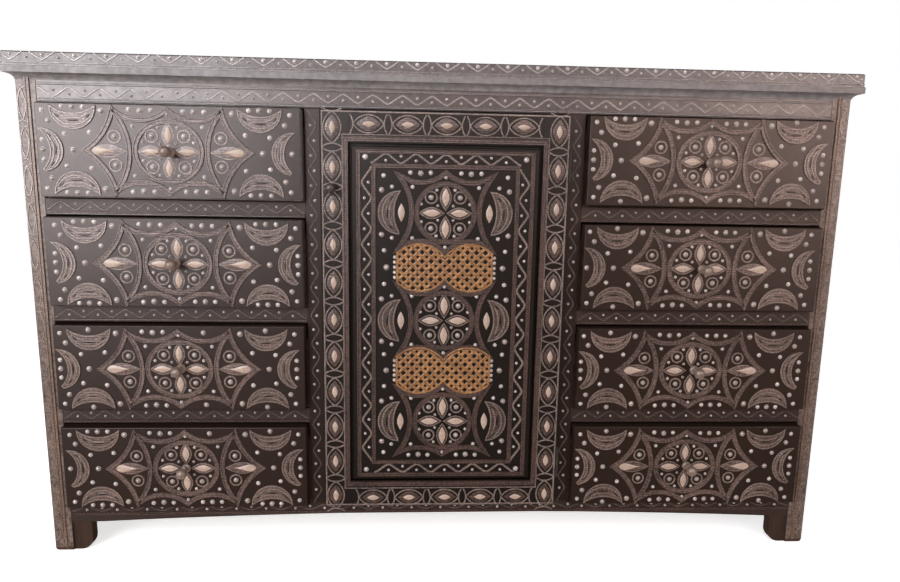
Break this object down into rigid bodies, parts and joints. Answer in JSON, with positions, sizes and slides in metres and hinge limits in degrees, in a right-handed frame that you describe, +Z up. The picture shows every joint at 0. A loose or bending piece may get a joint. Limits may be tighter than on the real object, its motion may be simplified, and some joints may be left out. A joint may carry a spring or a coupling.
{
  "type": "sideboard",
  "caption": "Low wooden sideboard clad in dark embossed metal with bone inlay: a column of drawers on each side of a framed door, under an overhanging top on bracket feet.",
  "frame": {"origin": "on the floor, under the middle of the whole object's box", "axes": "+Z up, +X to the right of someone facing the front, -Y out of the front"},
  "size_m": [1.524, 0.4742, 0.93],
  "materials": {
    "clad_front": "wood under dark patinated embossed metal sheet, satin",
    "dark_wood": "dark stained wood, satin",
    "inner_wood": "plain sawn wood, matt",
    "knob_metal": "dark patinated metal, satin",
    "lattice_brass": "aged brass, satin",
    "hinge_steel": "aged steel"
  },
  "bodies": {
    "carcass": {"left_side": "dark_wood", "right_side": "dark_wood", "left_partition": "dark_wood", "right_partition": "dark_wood", "bottom_board": "inner_wood", "top_board": "dark_wood", "cornice": "dark_wood", "back_panel": "inner_wood", "top_rail": "clad_front", "bottom_rail": "clad_front", "cupboard_shelf": "inner_wood", "left_rail_1": "clad_front", "left_runner_1": "inner_wood", "left_rail_2": "clad_front", "left_runner_2": "inner_wood", "left_rail_3": "clad_front", "left_runner_3": "inner_wood", "right_rail_1": "clad_front", "right_runner_1": "inner_wood", "right_rail_2": "clad_front", "right_runner_2": "inner_wood", "right_rail_3": "clad_front", "right_runner_3": "inner_wood", "upper_hinge_frame_leaf": "hinge_steel", "lower_hinge_frame_leaf": "hinge_steel"},
    "door": {"door_left_stile": "clad_front", "door_right_stile": "clad_front", "door_top_rail": "clad_front", "door_bottom_rail": "clad_front", "door_panel": "clad_front", "lattice_upper": "lattice_brass", "lattice_lower": "lattice_brass", "door_knob": "knob_metal", "upper_hinge_door_leaf": "hinge_steel", "lower_hinge_door_leaf": "hinge_steel"},
    "left_drawer_1": {"left_drawer_1_front": "clad_front", "left_drawer_1_box": "inner_wood", "left_drawer_1_knob": "knob_metal"},
    "left_drawer_2": {"left_drawer_2_front": "clad_front", "left_drawer_2_box": "inner_wood", "left_drawer_2_knob": "knob_metal"},
    "left_drawer_3": {"left_drawer_3_front": "clad_front", "left_drawer_3_box": "inner_wood", "left_drawer_3_knob": "knob_metal"},
    "left_drawer_4": {"left_drawer_4_front": "clad_front", "left_drawer_4_box": "inner_wood", "left_drawer_4_knob": "knob_metal"},
    "right_drawer_1": {"right_drawer_1_front": "clad_front", "right_drawer_1_box": "inner_wood", "right_drawer_1_knob": "knob_metal"},
    "right_drawer_2": {"right_drawer_2_front": "clad_front", "right_drawer_2_box": "inner_wood", "right_drawer_2_knob": "knob_metal"},
    "right_drawer_3": {"right_drawer_3_front": "clad_front", "right_drawer_3_box": "inner_wood", "right_drawer_3_knob": "knob_metal"},
    "right_drawer_4": {"right_drawer_4_front": "clad_front", "right_drawer_4_box": "inner_wood", "right_drawer_4_knob": "knob_metal"}
  },
  "joints": [
    {"name": "left_drawer_1_slide", "type": "slide", "parent": "carcass", "child": "left_drawer_1", "axis": [0, -1, 0], "range_m": [0, 0.3]},
    {"name": "left_drawer_2_slide", "type": "slide", "parent": "carcass", "child": "left_drawer_2", "axis": [0, -1, 0], "range_m": [0, 0.3]},
    {"name": "left_drawer_3_slide", "type": "slide", "parent": "carcass", "child": "left_drawer_3", "axis": [0, -1, 0], "range_m": [0, 0.3]},
    {"name": "left_drawer_4_slide", "type": "slide", "parent": "carcass", "child": "left_drawer_4", "axis": [0, -1, 0], "range_m": [0, 0.3]},
    {"name": "right_drawer_1_slide", "type": "slide", "parent": "carcass", "child": "right_drawer_1", "axis": [0, -1, 0], "range_m": [0, 0.3]},
    {"name": "right_drawer_2_slide", "type": "slide", "parent": "carcass", "child": "right_drawer_2", "axis": [0, -1, 0], "range_m": [0, 0.3]},
    {"name": "right_drawer_3_slide", "type": "slide", "parent": "carcass", "child": "right_drawer_3", "axis": [0, -1, 0], "range_m": [0, 0.3]},
    {"name": "right_drawer_4_slide", "type": "slide", "parent": "carcass", "child": "right_drawer_4", "axis": [0, -1, 0], "range_m": [0, 0.3]},
    {"name": "door_swing", "type": "hinge", "parent": "carcass", "child": "door", "pos_m": [0.2255, -0.20405, 0.469], "axis": [0, 0, 1], "range_deg": [0, 90]}
  ]
}
